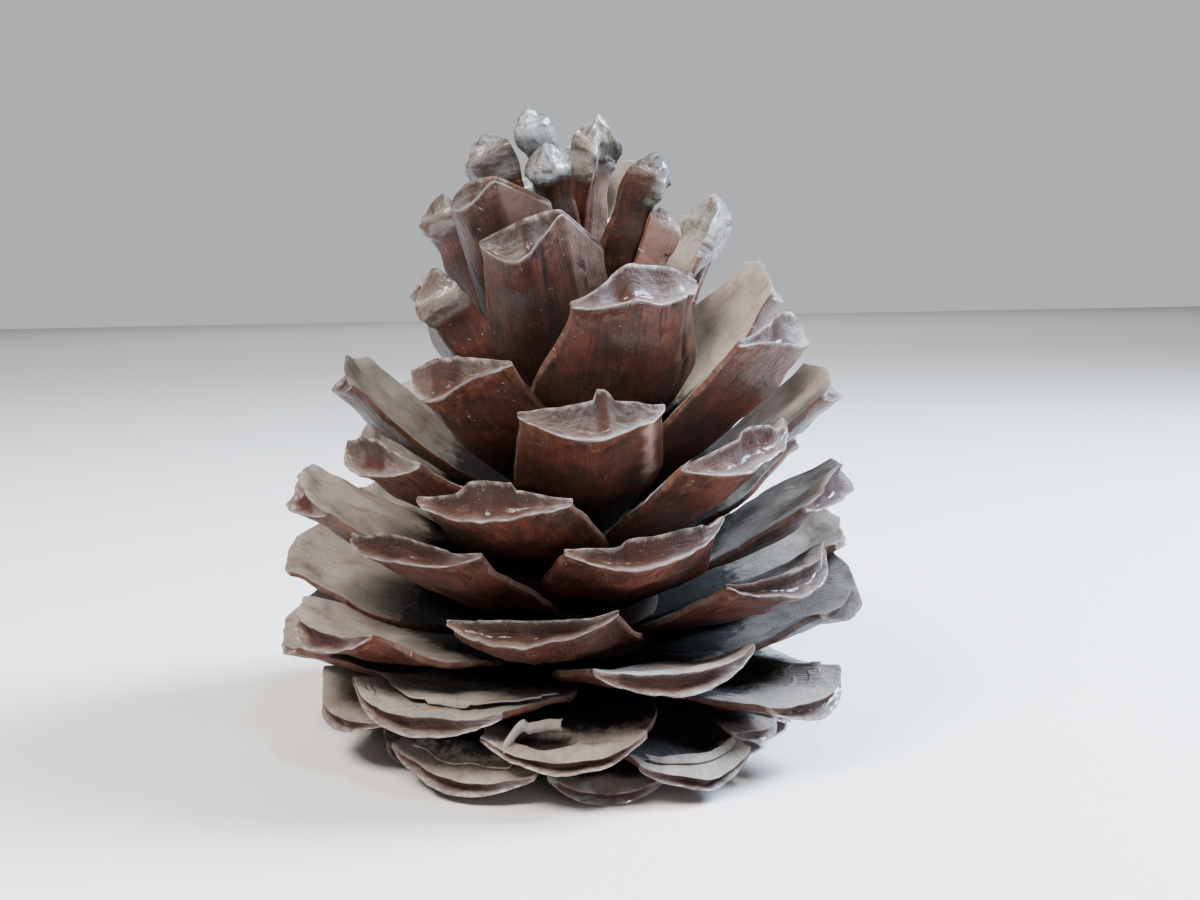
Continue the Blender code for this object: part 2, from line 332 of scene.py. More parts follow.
# single scales that differ from their neighbours; right is as seen from outside
ownShape = {
    14: {"torn": 0.3, "endPale": 0.9},
    19: {"torn": 0.3},
    22: {"lean": 0.1, "torn": 0.4, "paleFrom": 0.86, "endPale": 0.7, "tone": -0.2, "roll": 1.3},
    24: {"torn": 0.3, "paleFrom": 0.6},
    27: {
        "torn": 0.0, "paleFrom": 0.72, "endPale": 0.1, "tone": 0.6, "roll": 1.6,
        "shadedHole": (-0.26, 0.44, 6.4, 3.6),
    },
    29: {"tone": 0.9},
    30: {"tone": -0.2, "paleFrom": 0.7},
    32: {
        "paleFrom": 0.42, "endPale": 0.4, "torn": 1.0, "tone": 0.6,
        "shadedHole": (0.15, 0.24, 6.2, 1.1), "ochre": (0.15, 0.14, 3.8, 1.5),
    },
    38: {"tone": -1.0},
    43: {"tone": -0.3},
    45: {"splitAt": 0.1, "tiltBy": -2.0},
    46: {"tone": 0.6, "hollowBrown": 0.3},
    48: {"lean": -0.1, "rightCurl": 1.8, "leftCurl": 0.2, "knob": 0.8, "knobAt": 1.8, "knobWide": 5.6},
    51: {"tone": -0.5},
    53: {"knob": 0.9, "knobAt": 0.3, "knobWide": 3.3},
    56: {"lean": -0.15, "knobAt": 2.0, "rightCurl": 2.0, "leftCurl": 0.0},
    59: {"endPale": 0.9, "tone": 0.6},
    61: {
        "lean": 0.0, "knob": 1.25, "knobAt": 1.3, "knobWide": 1.0, "gather": 0.6,
        "umbo": 0.15, "hollowBrown": 0.25, "arch": 0.5, "streak": 1.0, "endPale": 0.8, "tiltBy": 3.0,
    },
    63: {"tiltBy": -6.0, "tone": -0.2},
    64: {"lean": 0.3, "endPale": 0.9},
    66: {"lean": -0.3, "arch": 0.6, "endPale": 0.3},
    69: {"lean": 0.2, "knob": 0.2, "knobAt": -1.5, "splitAt": 0.7, "belly": 1.35, "endPale": 0.6},
    71: {"head": 0.6, "endPale": 0.3, "tipBy": (2.0, 0.0)},
    72: {"tiltBy": 14.0, "widthTrim": 1.3, "tone": 1.5, "taper": 0.25},
    74: {
        "lean": -0.1, "knob": 0.0, "belly": 1.15, "lensTo": 0.42, "archAt": 0.42, "arch": 1.6, "dish": 1.9,
        "knobAt": -1.5, "knobWide": 0.9, "tone": -0.1, "gather": 0.6,
        "fold": (0.42, 3.0, 6.5), "widthTrim": 1.35, "sideBy": 2.0, "splitAt": 0.0,
    },
    76: {"head": 0.6, "endPale": 0.3, "tipBy": (2.0, 1.0)},
    77: {
        "head": 0.0, "widthTrim": 0.42, "endPale": 0.6, "tipBy": (0.0, -5.5), "tone": 0.6,
        "pink": 0.9, "dish": 0.0, "arch": 0.2, "knob": 0.0, "knobWide": 0.0,
    },
    79: {
        "lean": 0.0, "knob": 0.0, "belly": 1.15, "lensTo": 0.16, "archAt": 0.16, "arch": 1.6, "dish": 1.9,
        "knobAt": -1.8, "knobWide": 0.8, "tone": -0.1, "gather": 0.6,
        "fold": (0.16, 3.5, 5.0), "widthTrim": 1.45, "sideBy": 2.0,
    },
    80: {
        "head": 0.7, "widthTrim": 1.75, "taper": 0.45, "headLength": 9.5,
        "arch": 1.6, "tone": 1.3, "tipBy": (-0.8, 1.3),
    },
    82: {
        "head": 0.9, "lean": 0.1, "tone": -0.6, "endPale": 1.0, "headLength": 5.5,
        "fold": (0.5, 2.0, 1.5), "headFrom": -0.4, "sideBy": 2.4, "widthTrim": 1.05, "tipBy": (0.0, 2.2),
    },
    83: {"tipBy": (3.0, 8.5), "widthTrim": 1.7, "head": 0.0, "tone": 0.2},
    84: {
        "headLength": 6.5, "arch": 0.3, "lean": 0.3,
        "rightCurl": 2.0, "tipBy": (-1.4, 1.2), "widthTrim": 1.15,
    },
    87: {"headLength": 3.8},
    90: {
        "tipBy": (0.0, 0.3), "headLength": 7.5, "fold": (0.0, 1.0, 0.5),
        "endPale": 0.65, "widthTrim": 1.1, "tone": 1.5,
    },
    92: {"headLength": 5.5, "leftCurl": 1.5, "tipBy": (0.0, 1.0), "widthTrim": 0.9},
}


def meshFrom(bm, name):
    mesh = bpy.data.meshes.new(name)
    bm.to_mesh(mesh)
    bm.free()
    return mesh


def addObject(name, data):
    obj = bpy.data.objects.new(name, data)
    bpy.context.scene.collection.objects.link(obj)
    return obj


def boxGrid(shape):
    # a box cut into a fine grid, for a scale to be bent from
    bm = bmesh.new()
    bmesh.ops.create_cube(bm, size=2)
    for axis, cuts in enumerate((shape["cutsAcross"], shape["cutsAlong"], shape["cutsThrough"])):
        edges = [e for e in bm.edges if abs(e.verts[0].co[axis] - e.verts[1].co[axis]) > tiny]
        bmesh.ops.subdivide_edges(bm, edges=edges, cuts=cuts - 1, use_grid_fill=True)
    rootFaces = [f for f in bm.faces if f.calc_center_median().y < -1 + tiny]
    bmesh.ops.dissolve_faces(bm, faces=rootFaces)
    return meshFrom(bm, "boxGrid")


def rough(p, name, points=None):
    # one layer of the relief, by default as it lies on the flat blade
    height, size, step = relief[name]
    return height * lumps(p.flat if points is None else points, size, p.seed + step)


def creased(p, name, points):
    # the same, folded into sharp ridges
    height, size, step = relief[name]
    return height * (1 - 2 * np.abs(lumps(points, size, p.seed + step)))


def spreadGrid(grid, m, seed):
    # where each point of the box lies on the scale, and how thick the scale is there
    s = scaleShape
    across = (1 - s["sideCrowding"]) * grid[:, 0] + s["sideCrowding"] * np.sin(grid[:, 0] * math.pi / 2)
    fromKnob = across + m.knobAt * 2 / m.width
    across = across - m.gather * fromKnob * hump(fromKnob, 0, s["gatherSpan"])
    p = SimpleNamespace(seed=seed, through=grid[:, 2], onEnd=grid[:, 1] > 1 - tiny)
    p.share = 1 - (1 - (grid[:, 1] + 1) / 2) ** s["endCrowding"]
    p.upper, p.lower = p.through > 0, p.through < 0

    outline = s["rootWidth"] + (m.belly - s["rootWidth"]) * ease(0, s["bellyAt"], p.share)
    outline -= (m.belly - 1) * ease(s["bellyAt"], s["bellyTo"], p.share)
    outline *= 1 - m.taper * ease(0.5, 1, p.share) ** s["taperPower"]
    p.half = outline * m.width / 2
    p.keel = m.depth * (s["rootDepth"] + (1 - s["rootDepth"]) * ease(0, 1, p.share))
    foldAt = m.fold[0]
    keelSpot = np.minimum((1 - across) / (1 + foldAt) * 2 - 1, 1)
    p.keelShape = np.clip(1 - np.abs(keelSpot - m.lean * (1 - keelSpot**2)) ** s["keelPower"], 0, 1)
    p.thickness = s["edgeThickness"] + (p.keel - s["edgeThickness"]) * p.keelShape

    # rounds every edge of the box
    radius = s["rimRadius"]
    p.fromTip = (1 - p.share) * m.length
    fromSide = (1 - np.abs(across)) * p.half
    fromFace = (1 - np.abs(p.through)) / 2 * p.thickness
    p.near = np.stack((fromSide, p.fromTip, fromFace), axis=1)
    inset = np.maximum(0, radius - p.near)
    reach = np.linalg.norm(inset, axis=1)
    p.pull = inset * (1 - radius / np.maximum(reach, radius))[:, None]

    p.across = across - np.sign(across) * p.pull[:, 0] / p.half
    p.right = -p.across
    p.belowTop = p.thickness * (1 - p.through) / 2 + np.sign(p.through) * p.pull[:, 2]
    p.flat = np.stack((p.across * p.half, p.share * m.length, np.zeros(len(grid))), axis=1)
    p.upperSide = ease(-1, 1, p.through)
    p.bendShare = ease(s["bendFrom"], 1, p.share)
    p.wing = np.clip((p.right - foldAt) / max(1 - foldAt, 0.01), 0, 1)
    return p


def bladeHeight(p, m):
    # the upper face over a flat blade: cupped, curled at its corners, folded, warped and arched
    s = scaleShape
    size = m.width / s["plainWidth"]
    top = s["cupping"] * m.width * p.across**2 * p.share + m.tipRise * p.bendShare
    curl = np.where(p.right < 0, m.leftCurl, m.rightCurl) * s["curl"] * size
    top += curl * np.abs(p.across) ** 4 * ease(0.6, 1, p.share)
    top += m.fold[1] * p.wing * ease(0.1, 0.7, p.share)
    top += size * rough(p, "warp") * ease(0.2, 0.8, p.share)
    top += rough(p, "blade") * ease(0.2, 0.5, p.share)
    archShape = np.clip(1 - (p.right - m.archAt) ** 2, 0, 1) ** 2
    top += m.arch * size * archShape * (1 - ease(0, s["archLength"], p.fromTip))
    top -= m.roll * p.upperSide * p.keelShape * (1 - ease(0, s["rollLength"], p.fromTip))
    return top


def faceRelief(p, m):
    # grooves and dents on both faces, the seeds' hollows above and the dip behind the lip below
    s = scaleShape
    grooved = p.flat * grooveStretch
    hollows = s["seedHollow"] * hump(np.abs(p.across), *s["seedHollowAt"])
    hollows *= ease(0.3, 0.55, p.share) * (1 - ease(0.8, 0.95, p.share))
    above = rough(p, "upperGrooves", grooved) + rough(p, "upperDents") - hollows
    below = rough(p, "lowerGrooves", grooved) + rough(p, "lowerDents")
    below *= ease(0.0, 0.3, p.share)
    below += s["dip"] * hump(p.share, *s["dipAt"]) * p.keelShape * (1 - m.head)
    return p.upperSide * above + (1 - p.upperSide) * below


def endPush(p, m):
    # how far the end face stands out: a dish with a lip and a boss, or a crown scale's dome
    s = scaleShape
    deep = m.depth / s["plainDepth"]
    dome = headShape["dome"] * m.head - m.dish * (1 - m.head) * deep
    push = dome * (1 - p.across**2) * (1 - p.through**2)
    push += s["lip"] * hump(p.through, *s["lipAt"]) * (1 - p.across**2)
    boss = hump(p.right * p.half, m.knobAt, s["umboSpan"]) * hump(p.through, *s["umboAt"])
    push += m.umbo * boss * deep
    face = np.stack((p.across * p.half, p.through * p.keel / 2, 0 * p.share), axis=1)
    push += rough(p, "endGrain", face) + creased(p, "endCreases", face) * (1 - p.through**2)
    return push * p.onEnd


def spotMask(p, spot):
    # 1 inside a ragged oval on the upper face
    if not spot:
        return np.zeros(len(p.right))
    middle, halfSpan, back, halfDepth = spot
    away = np.hypot((p.right - middle) / halfSpan, (p.fromTip - back) / halfDepth)
    return (1 - ease(0.8, 1.05, away + rough(p, "spotEdge"))) * p.upper


def paintMarks(p, m):
    # masks for the knob, split, streak and hole, and how far in mm a point is outside the knob
    s = scaleShape
    outside = np.abs(p.right * p.half - m.knobAt) + rough(p, "knobEdge") - m.knobWide
    size = m.width / s["plainWidth"]
    splitLine = m.splitAt + rough(p, "splitWander") / size
    streakLine = p.right + rough(p, "streakWander")
    return SimpleNamespace(
        outsideKnob=outside,
        knob=(1 - ease(-0.25, 0.35, outside)) * ease(-0.4, 1, p.through),
        split=hump(p.right, splitLine, s["splitWidth"]) * ease(0.5, 0.62, p.share) * p.lower,
        streak=m.streak * hump(streakLine, *s["streakAt"]) * ease(0.45, 0.6, p.share) * p.lower,
        shadedHole=spotMask(p, m.shadedHole),
    )


def headMask(p, m):
    # 1 on a crown scale's swollen head
    h, length = headShape, m.headLength
    back = p.fromTip + rough(p, "headEdge")
    head = m.head * (1 - ease(h["startShare"] * length, length, back))
    return head * ease(m.headFrom - h["sideBlend"], m.headFrom + h["sideBlend"], p.right)


def swellHead(p, m, head, top, z):
    # swells the head, draws in the neck behind it, rounds the end and hooks it down
    h, length = headShape, m.headLength
    bulge = h["bulge"] * hump(p.fromTip, h["bulgeAt"] * length, h["bulgeAt"] * length)
    bulge += creased(p, "headWrinkles", p.flat + (0, 0, p.seed)) + rough(p, "headPimples")
    z = z - head * (1 - p.upperSide) * bulge
    z += head * p.upperSide * (h["upperBulge"] + rough(p, "headDents"))
    neckBack, neckSpan = h["neckAt"]
    neck = hump(p.fromTip, length + neckBack, neckSpan)
    z += m.head * (1 - p.upperSide) * h["neckDip"] * neck * p.keelShape
    nearEnd = 1 - np.clip(p.fromTip / h["endRadius"], 0, 1)
    endRound = 1 - m.head * (1 - np.sqrt(1 - h["endRound"] * nearEnd**2))
    middle = top - p.thickness / 2
    z = middle + (z - middle) * endRound
    z -= m.head * h["hook"] * (1 - ease(0, h["hookLength"], p.fromTip))
    swell = 1 + head * (h["flare"] + rough(p, "headSwell", p.flat + (0, 0, 3))) * (p.fromTip < 2 * length)
    waistBack, waistSpan = h["waistAt"]
    swell -= m.head * h["neckWaist"] * hump(p.fromTip, length + waistBack, waistSpan)
    return z, swell * endRound


def scalePaint(p, m, marks, head):
    # what the shader reads at each point
    bare = np.ones(len(p.share))
    brown = 1 - ease(0.5, 0.85, np.abs(p.right + 0.12) + rough(p, "brownEdge"))
    patch = np.maximum(1 - ease(-0.5, 0.3, marks.outsideKnob), m.hollowBrown * brown)
    patch *= ease(-0.7, -0.3, p.through + rough(p, "patchEdge"))
    wingPink = 0.75 * ease(0.0, 0.2, p.wing) * ease(0.2, 0.6, p.share)
    return {
        "endFace": p.onEnd.astype(float),
        "lens": 1 - ease(m.lensTo - 0.08, m.lensTo + 0.08, p.right + 0.3 * p.through),
        "head": head,
        "tone": bare * m.tone,
        "shadedHole": marks.shadedHole,
        "ochre": spotMask(p, m.ochre),
        "split": marks.split,
        "streak": marks.streak,
        "pink": (m.pink + wingPink) * p.lower,
        "patch": patch * p.onEnd,
        "torn": m.torn * ease(0.5, 0.7, p.share) * p.upper * ~p.onEnd,
        "endPale": bare * m.endPale,
        "upperOutOfShade": ease(m.paleFrom - 0.12, m.paleFrom + 0.1, p.share),
    }


def bendScale(grid, m, seed):
    # moves the box's points onto the scale, in mm, and returns what the shader reads too
    s = scaleShape
    p = spreadGrid(grid, m, seed)
    marks = paintMarks(p, m)
    head = headMask(p, m)
    top = bladeHeight(p, m)
    z = top - p.belowTop + faceRelief(p, m)

    y = p.share * m.length - p.pull[:, 1] - s["endRounding"] * m.width * p.across**2 * p.share**2
    y -= (m.slant * p.belowTop + m.fold[2] * p.wing) * p.bendShare
    y += rough(p, "endWave", p.flat * (1, 0, 1)) * p.bendShare
    y += endPush(p, m)

    knob = m.knob * m.knobShare * marks.knob
    knobStart, knobFull = s["knobFrom"]
    z += knob * (1 - ease(knobFull, knobStart, p.fromTip))
    y += s["knobPush"] * knob * p.onEnd
    z += s["splitDepth"] * marks.split
    z -= s["streakHeight"] * marks.streak * (1 + rough(p, "streakRipple"))
    z -= s["holeDepth"] * marks.shadedHole

    z, swell = swellHead(p, m, head, top, z)
    x = p.across * p.half * swell - m.sideBy * p.share
    vectors = {
        "grain": np.stack((x, y + 4 * p.belowTop * p.onEnd, np.full(len(grid), seed * 9.7)), axis=1),
        "place": np.stack((p.across, p.share, p.through), axis=1),
        "near": p.near,
    }
    return np.stack((x, y, z), axis=1), scalePaint(p, m, marks, head), vectors


def placeScale(points, m):
    # stands a scale's own points, in mm, where it grows on the cone, in metres
    lengthways = (m.tip - m.root).normalized()
    sideways = -Vector((math.cos(m.turn), math.sin(m.turn), 0.0))
    upwards = sideways.cross(lengthways)
    turned = Matrix((sideways, lengthways, upwards)).transposed() @ Matrix.Rotation(m.tilt, 3, "Y")
    placed = points @ np.array(turned).T + np.array(m.root)
    # the lowest scales are worn flat where they meet the table
    z = placed[:, 2]
    placed[:, 2] = 0.5 * (z + np.sqrt(z**2 + wearBlend))
    return placed * mm


def shapeMesh(mesh, m, points, paint, vectors):
    # stands a scale or sheet on the cone and stores what the shader reads
    mesh.vertices.foreach_set("co", placeScale(points, m).astype(np.float32).ravel())
    for name, values in paint.items():
        mesh.attributes.new(name, "FLOAT", "POINT").data.foreach_set("value", values.astype(np.float32))
    for name, values in vectors.items():
        attribute = mesh.attributes.new(name, "FLOAT_VECTOR", "POINT")
        attribute.data.foreach_set("vector", values.astype(np.float32).ravel())
    return addObject(mesh.name, mesh)


def measuresOf(number):
    # the rule's measures, what the scale draws by chance, and what it has of its own
    m = measures(number)
    own = {**plainScale, **ownShape.get(number, {})}
    m.width *= own.pop("widthTrim")
    m.tilt += math.radians(own.pop("tiltBy"))
    reachBy, heightBy = own.pop("tipBy")
    m.tip += Vector((math.sin(m.turn), -math.cos(m.turn), 0.0)) * reachBy + Vector((0, 0, heightBy))
    m.length = (m.tip - m.root).length
    drawn = {name: m.draw.uniform(*span) for name, span in chances.items()}
    drawn["knobAt"] *= m.width
    vars(m).update({**drawn, **own})
    vars(m).setdefault("archAt", m.lean / 2)
    return m


def makeScale(template, grid, number):
    m = measuresOf(number)
    mesh = template.copy()
    mesh.name = f"scale{number:02d}"
    return shapeMesh(mesh, m, *bendScale(grid, m, number))


sheetShape = {  # the torn papery layers, in mm or shares of their own size
    "thickness": 0.25,
    "stepsAlong": 44,
    "stepsAcross": 26,
    "gap": 0.3,  # over the face that a sheet has come away from
    "seedStep": 40,
    "ripSize": 1.6,
    "ripDepth": 0.07,
    "arcSize": 4.5,
    "arcDepth": 0.2,
    "waveSize": 2.6,
    "waveDepth": 0.35,
}
flapShape = {  # scale, box span across and along, lift in mm at the free edge, and how far it curls
    "vBack": {
        "scale": 32, "across": (-0.86, 0.82), "along": (-0.15, 0.36),
        "lift": 0.5, "curl": 0.0, "liftsInFront": True,
    },
    "xEdge": {
        "scale": 22, "across": (-0.75, 0.6), "along": (0.48, 0.62),
        "lift": 0.5, "curl": 0.2, "liftsInFront": False,
    },
    "adSheet": {
        "scale": 19, "across": (-0.5, 0.6), "along": (0.30, 0.62),
        "lift": 0.8, "curl": 0.2, "liftsInFront": False,
    },
}
ribbonShape = {  # the papery ribbon that curls over the hole behind one rim
    "scale": 27,
    "path": [  # mm to the right, back from the end and up from the face, then half the ribbon's height
        (-7.8, 2.4, -0.6, 0.9), (-6.9, 3.4, 0.7, 0.85), (-5.8, 4.5, 1.9, 0.8),
        (-4.3, 5.5, 2.5, 0.75), (-2.4, 6.1, 2.7, 0.8), (-0.4, 6.3, 2.7, 0.85),
    ],
    "stepsAlong": 60,
    "stepsAcross": 10,
    "seed": 61,
    "lean": 0.35,  # how far its edges lean out
    "ripDepth": 0.25,
}


def finishSheet(mesh, m, points, paint, vectors):
    # stands a sheet on its scale and gives it thickness
    paint["shadedHole"] = np.zeros(len(points))
    obj = shapeMesh(mesh, m, points, paint, vectors)
    skin = obj.modifiers.new("paperThickness", "SOLIDIFY")
    skin.thickness = sheetShape["thickness"] * mm
    skin.offset = 0
    bpy.context.view_layer.objects.active = obj
    bpy.ops.object.modifier_apply(modifier=skin.name)
    return obj


def sheetGrid(name, stepsAlong, stepsAcross):
    bm = bmesh.new()
    bmesh.ops.create_grid(bm, x_segments=stepsAlong, y_segments=stepsAcross, size=1)
    spots = np.array([v.co for v in bm.verts])
    return meshFrom(bm, name), spots


def makeRibbon():
    r = ribbonShape
    mesh, spots = sheetGrid("wRibbon", r["stepsAlong"], r["stepsAcross"])
    m = measuresOf(r["scale"])
    along, upright = (spots[:, 0] + 1) / 2, spots[:, 1]
    keys = np.linspace(0, 1, len(r["path"]))
    right, back, up, halfHeight = (
        np.array([onCurve(list(zip(keys, column)), t) for t in along]) for column in zip(*r["path"])
    )
    halfHeight = halfHeight * (1 + 0.05 * lumps(spots * (12, 2, 1), 2.5, r["seed"]))
    endRip = r["ripDepth"] * lumps(spots * (1, 6, 1), 1.0, r["seed"] + 1) * along**4
    box = np.stack((-right * 2 / m.width, np.full(len(along), 0.5), np.ones(len(along))), axis=1)
    under, paint, vectors = bendScale(box, m, r["scale"])
    points = np.stack((
        -right - endRip,
        m.length - back - r["lean"] * upright**2,
        under[:, 2] + up + upright * halfHeight,
    ), axis=1)
    vectors["grain"] = points
    return finishSheet(mesh, m, points, paint, vectors)


def makeFlap(name):
    # a thin sheet that lies on its scale's upper face and lifts at one edge
    s, flap = sheetShape, flapShape[name]
    seed = flap["scale"] + s["seedStep"]
    mesh, spots = sheetGrid(name, s["stepsAlong"], s["stepsAcross"])
    m = measuresOf(flap["scale"])
    u, v = spots[:, 0], spots[:, 1]
    ragged = s["ripDepth"] * lumps(spots * (9, 9, 1), s["ripSize"], seed)
    arcs = s["arcDepth"] * lumps(spots * (9, 1, 1), s["arcSize"], seed + 1)
    (left, rightEnd), (back, front) = flap["across"], flap["along"]
    box = np.stack((
        left + (rightEnd - left) * ((u + 1) / 2 + ragged * (1 - v**2) * 0.5),
        back + (front - back) * ((v + 1) / 2 + (ragged + arcs) * ease(0.2, 1, np.abs(v))),
        np.ones(len(u)),
    ), axis=1)
    points, paint, vectors = bendScale(box, m, flap["scale"])
    waves = s["waveDepth"] * lumps(points, s["waveSize"], seed + 10)
    rise = ease(-0.9, 1, v if flap["liftsInFront"] else -v) * (1 + waves)
    points[:, 2] += s["gap"] + flap["lift"] * rise
    points[:, 1] += flap["curl"] * flap["lift"] * ease(0.0, 1, -v) ** 2
    return finishSheet(mesh, m, points, paint, vectors)


def joinPieces(objects, name):
    bpy.ops.object.select_all(action="DESELECT")
    for obj in objects:
        obj.select_set(True)
    bpy.context.view_layer.objects.active = objects[0]
    bpy.ops.object.join()
    piece = bpy.context.object
    piece.name = name
    piece.data.name = name
    return piece


def makeAxis():
    shape = axisShape
    bm = bmesh.new()
    foot, top = shape["profile"][0][0], shape["profile"][-1][0]
    heights = [foot + (top - foot) * i / shape["rings"] for i in range(shape["rings"] + 1)]
    points = [(0.0, foot)] + [(onCurve(shape["profile"], h), h) for h in heights] + [(0.0, top)]
    verts = [bm.verts.new((x * mm, 0, z * mm)) for x, z in points]
    edges = [bm.edges.new(pair) for pair in zip(verts, verts[1:])]
    bmesh.ops.spin(
        bm, geom=verts + edges, cent=(0, 0, 0), axis=(0, 0, 1),
        angle=math.tau, steps=shape["sides"], use_merge=True,
    )
    bmesh.ops.remove_doubles(bm, verts=bm.verts, dist=mm / 1000)
    bmesh.ops.recalc_face_normals(bm, faces=bm.faces)
    return addObject("coneAxis", meshFrom(bm, "coneAxis"))


class Nodes:
    # short ways to add nodes to one tree
    def __init__(self, tree):
        self.tree = tree

    def fill(self, node, values):
        # links sockets and sets constants
        for name, value in values.items():
            if isinstance(value, bpy.types.NodeSocket):
                self.tree.links.new(value, node.inputs[name])
            else:
                node.inputs[name].default_value = value
        return node

    def add(self, kind, values=None, **settings):
        node = self.tree.nodes.new("ShaderNode" + kind)
        for name, value in settings.items():
            setattr(node, name, value)
        return self.fill(node, values or {})

    def mix(self, factor, a, b, blend="MIX"):
        # a Mix node's colour sockets have no names of their own, so they go by number
        return self.add("Mix", {0: factor, 6: a, 7: b}, data_type="RGBA", blend_type=blend).outputs[2]

    def layer(self, colour, *layers):
        # lays colours over one another, each by its mask
        for mask, over in layers:
            colour = self.mix(mask, colour, over)
        return colour

    def math(self, operation, a, b=0.0, clamp=False):
        return self.add("Math", {0: a, 1: b}, operation=operation, use_clamp=clamp).outputs[0]

    def times(self, first, *others):
        for other in others:
            first = self.math("MULTIPLY", first, other)
        return first

    def range(self, value, low, high, toLow=0.0, toHigh=1.0):
        return self.add("MapRange", {
            "Value": value, "From Min": low, "From Max": high, "To Min": toLow, "To Max": toHigh,
        }).outputs["Result"]

    def bell(self, value, spread):
        # 1 where the value is 0, and falls to 0 over the spread
        return self.range(value, 0.0, spread, 1.0, 0.0)

    def masked(self, value, name):
        return self.range(value, *scaleMasks[name])

    def noise(self, vector, scale, detail, roughness, distortion=0.0):
        return self.add("TexNoise", {
            "Vector": vector, "Scale": scale, "Detail": detail,
            "Roughness": roughness, "Distortion": distortion,
        }).outputs["Fac"]

    def mask(self, name):
        return self.add("Attribute", attribute_name=name).outputs["Fac"]

    def vector(self, name):
        return self.add("Attribute", attribute_name=name).outputs["Vector"]

    def bump(self, finish, height):
        values = {"Strength": finish["bump"], "Distance": finish["bumpDepth"], "Height": height}
        return self.add("Bump", values).outputs[0]


def newMaterial(name):
    material = bpy.data.materials.new(name)
    material.use_nodes = True
    return material, Nodes(material.node_tree), material.node_tree.nodes["Principled BSDF"]


woodGrain = {  # noise along the grain, whose Y runs root to tip: scale, detail, roughness, distortion
    "blotches": (0.22, 7.0, 0.66, 0.6),
    "specks": (2.6, 2.0, 0.5),
    "patches": (0.75, 4.0, 0.6),
    "lineStretch": (2.4, 0.16, 1),
    "lines": (1.0, 6.0, 0.62),
    "crackStretch": (0.30, 0.028, 1),
    "crackNoise": (1.0, 1.0, 0.4),
    "crackAt": 0.52,
    "crackWidth": 0.007,
    "crackBlotches": (0.46, 0.54),
    "speckRange": (0.70, 0.76),
}


def fibreGroup():
    # long fine lines that run root to tip, with broken strength
    w = woodGrain
    tree = bpy.data.node_groups.new("woodFibres", "ShaderNodeTree")
    tree.interface.new_socket("Grain", in_out="INPUT", socket_type="NodeSocketVector")
    for name in ("Lines", "Blotches", "Specks", "Patches", "Cracks"):
        tree.interface.new_socket(name, in_out="OUTPUT", socket_type="NodeSocketFloat")
    n = Nodes(tree)
    grain = tree.nodes.new("NodeGroupInput").outputs["Grain"]
    stretched = n.add("Mapping", {"Vector": grain, "Scale": w["lineStretch"]}).outputs[0]
    drawn = n.add("Mapping", {"Vector": grain, "Scale": w["crackStretch"]}).outputs[0]
    blotches = n.noise(grain, *w["blotches"])
    fromLine = n.math("SUBTRACT", n.noise(drawn, *w["crackNoise"]), w["crackAt"])
    thin = n.bell(n.math("ABSOLUTE", fromLine), w["crackWidth"])
    n.fill(tree.nodes.new("NodeGroupOutput"), {
        "Lines": n.noise(stretched, *w["lines"]),
        "Blotches": blotches,
        "Specks": n.range(n.noise(grain, *w["specks"]), *w["speckRange"]),
        "Patches": n.noise(grain, *w["patches"]),
        "Cracks": n.times(thin, n.range(blotches, *w["crackBlotches"])),
    })
    return tree


scaleFinish = {
    "lowerDark": (0.018, 0.0048, 0.0030, 1),
    "lowerWarm": (0.115, 0.029, 0.0125, 1),
    "lowerPatch": (0.170, 0.088, 0.054, 1),
    "upperPale": (0.262, 0.226, 0.198, 1),
    "upperStain": (0.130, 0.088, 0.066, 1),
    "papery": (0.215, 0.205, 0.200, 1),
    "ochre": (0.230, 0.130, 0.055, 1),
    "upperPaintedShade": (0.014, 0.011, 0.011, 1),
    "endWarm": (0.054, 0.0145, 0.0085, 1),
    "endDarkAndShade": (0.018, 0.0058, 0.0042, 1),
    "endPink": (0.100, 0.044, 0.031, 1),
    "resin": (0.360, 0.205, 0.170, 1),
    "wingPink": (0.215, 0.125, 0.105, 1),
    "endTan": (0.110, 0.058, 0.038, 1),
    "endGreyAndSheen": (0.180, 0.178, 0.190, 1),
    "lipSilver": (0.250, 0.222, 0.218, 1),
    "endOlive": (0.072, 0.044, 0.026, 1),
    "rimPaleAndHighlight": (0.430, 0.360, 0.330, 1),
    "edgeTan": (0.190, 0.105, 0.070, 1),
    "headGrey": (0.190, 0.192, 0.190, 1),
    "headDark": (0.052, 0.042, 0.032, 1),
    "crackAndHoleShade": (0.010, 0.005, 0.004, 1),
    "speck": (0.600, 0.540, 0.470, 1),
    "lowerWarmth": 0.85,
    "behindLipLength": 6.0,  # mm
    "crackStrength": 0.7,
    "paperStrength": 0.6,
    "sideStrength": 0.6,
    "speckStrength": 0.5,
    "faceRim": 0.5,  # widths of the rims, in mm
    "backRim": 0.35,
    "sideRim": 0.32,
    "peel": (0.11, 3.5, 0.6, 0.4),  # noise of the peeling layers
    "mattBy": 0.35,
    "coatRoughness": 0.18,
    "specular": 0.32,
    "endSmooth": 0.6,  # what each layer adds to the relief
    "blotchLift": 0.8,
    "patchLift": 0.5,
    "crackLift": -0.6,
    "paperLift": 1.2,
    "endLift": 0.8,
    "bump": 0.6,
    "bumpDepth": 0.0005,
}
